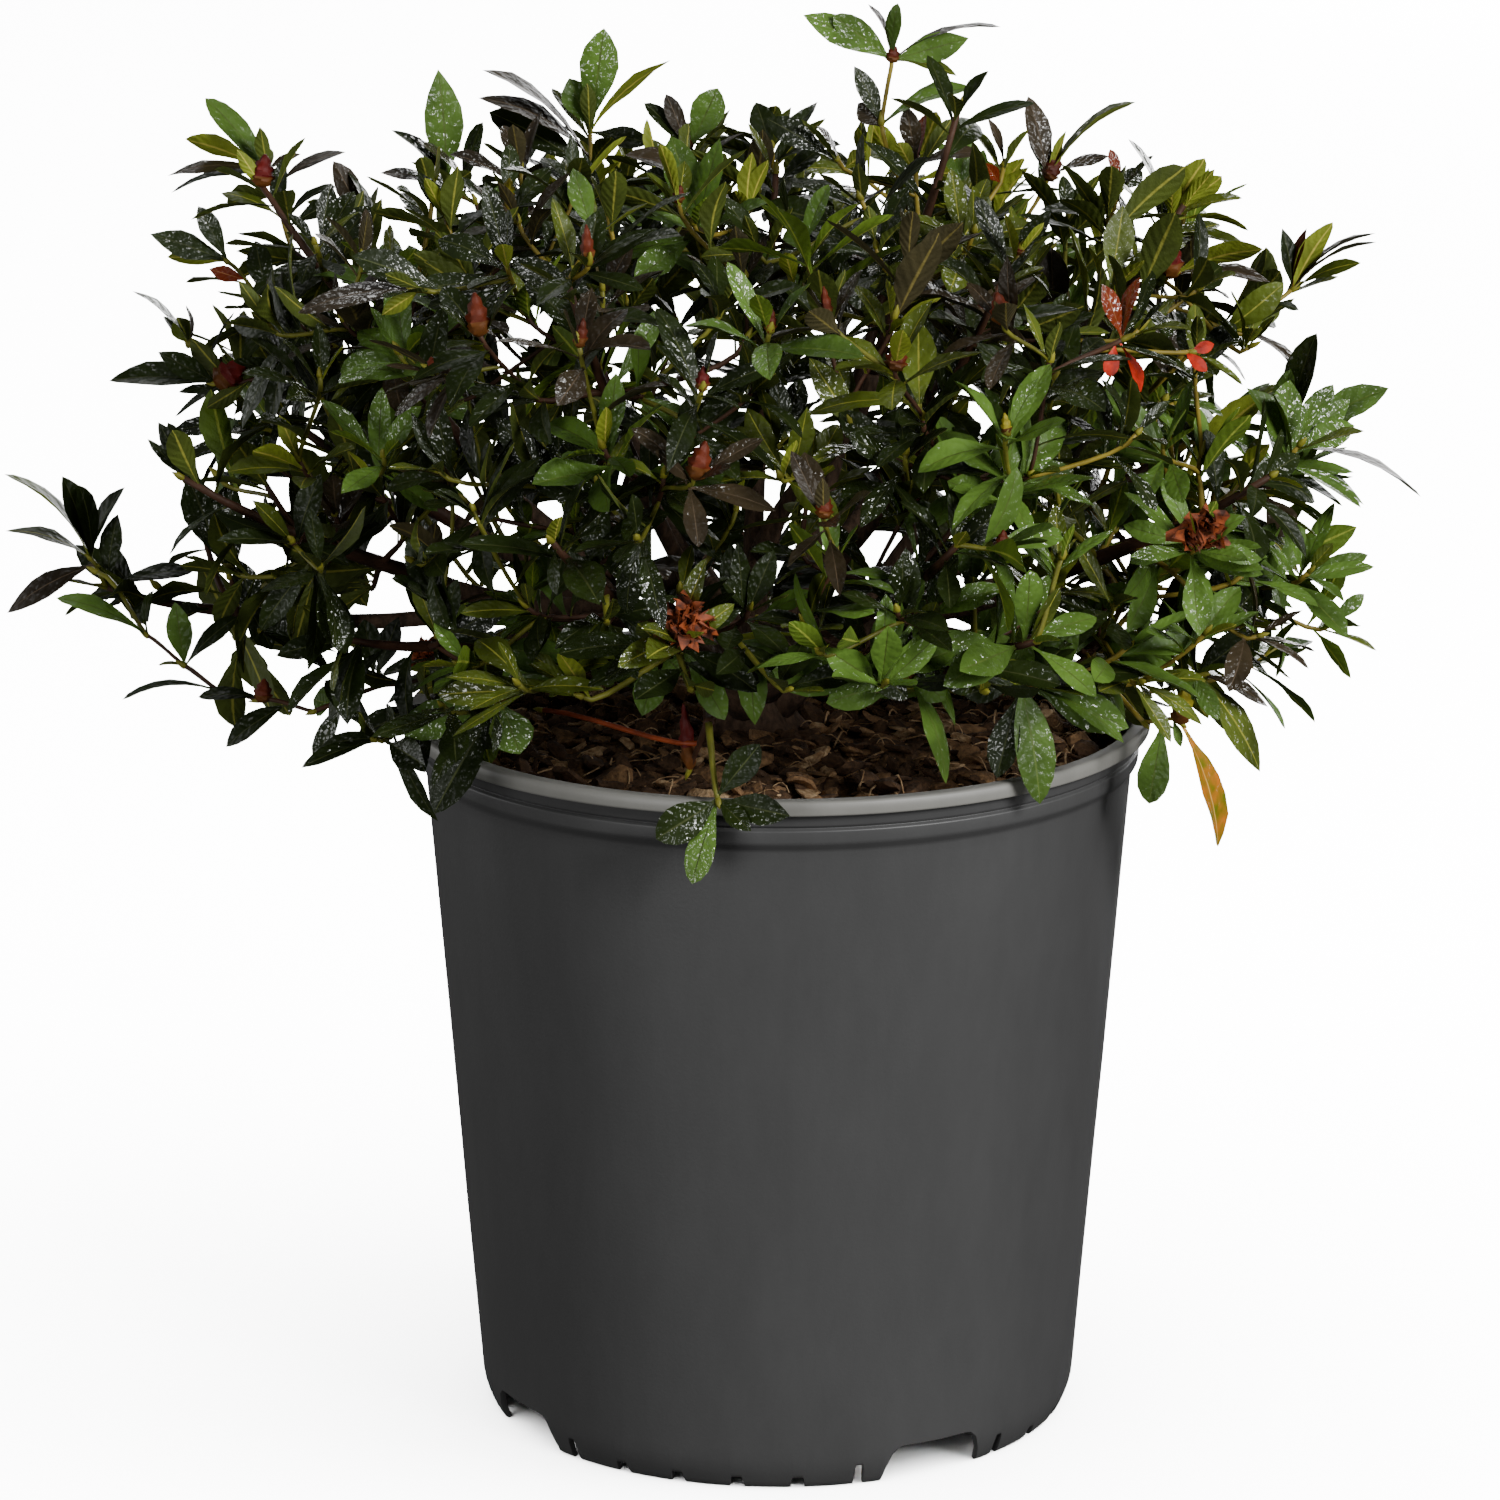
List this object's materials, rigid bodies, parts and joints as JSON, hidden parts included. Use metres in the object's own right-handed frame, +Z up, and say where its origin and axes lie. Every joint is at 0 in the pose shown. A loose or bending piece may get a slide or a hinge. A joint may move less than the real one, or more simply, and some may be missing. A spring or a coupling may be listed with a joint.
{
  "type": "potted reblooming azalea",
  "caption": "Evergreen azalea shrub with glossy leaf rosettes, buds and faded blooms, grown as a low wide dome in a round plastic nursery pot of potting mix.",
  "frame": {"origin": "centre of the pot's flat foot pad, on the surface that the pot stands on", "axes": "+Z up along the pot's axis, +X to the right and +Y to the back as the plant is seen from its front"},
  "size_m": [0.4367, 0.3433, 0.4352],
  "materials": {
    "pot": "blow moulded charcoal polyethylene, satin",
    "potting_mix": "loose moist composted bark",
    "bark": "fine fissured brown bark",
    "foliage": "glossy dark green leaves"
  },
  "bodies": {
    "root": {"bough_front_spill": "bark", "bough_left_arm": "bark", "bough_low_back_left": "bark", "bough_low_back_right": "bark", "bough_low_front_left": "bark", "bough_low_front_right": "bark", "bough_low_left_front": "bark", "bough_low_right_back": "bark", "bough_low_right_front": "bark", "bough_right_arm": "bark", "bough_top_back_left": "bark", "bough_top_back_right": "bark", "bough_top_front_left": "bark", "bough_top_front_right": "bark", "bough_top_left_front": "bark", "bough_top_right_back": "bark", "bough_top_sprig": "bark", "foliage_back_left": "foliage", "foliage_back_right": "foliage", "foliage_centre": "foliage", "foliage_front_left": "foliage", "foliage_front_right": "foliage", "foliage_front_spill": "foliage", "foliage_left_arm": "foliage", "foliage_left_back": "foliage", "foliage_left_front": "foliage", "foliage_low_back_left": "foliage", "foliage_low_back_right": "foliage", "foliage_low_front_left": "foliage", "foliage_low_front_right": "foliage", "foliage_low_left_front": "foliage", "foliage_low_right_back": "foliage", "foliage_low_right_front": "foliage", "foliage_right_arm": "foliage", "foliage_right_back": "foliage", "foliage_right_front": "foliage", "foliage_top_back_left": "foliage", "foliage_top_back_right": "foliage", "foliage_top_front_left": "foliage", "foliage_top_front_right": "foliage", "foliage_top_left_front": "foliage", "foliage_top_right_back": "foliage", "foliage_top_sprig": "foliage", "pot": "pot", "potting_mix": "potting_mix", "stem_back_left": "bark", "stem_back_right": "bark", "stem_centre": "bark", "stem_front_left": "bark", "stem_front_right": "bark", "stem_left_back": "bark", "stem_left_front": "bark", "stem_right_back": "bark", "stem_right_front": "bark", "trunk": "bark"}
  },
  "joints": []
}
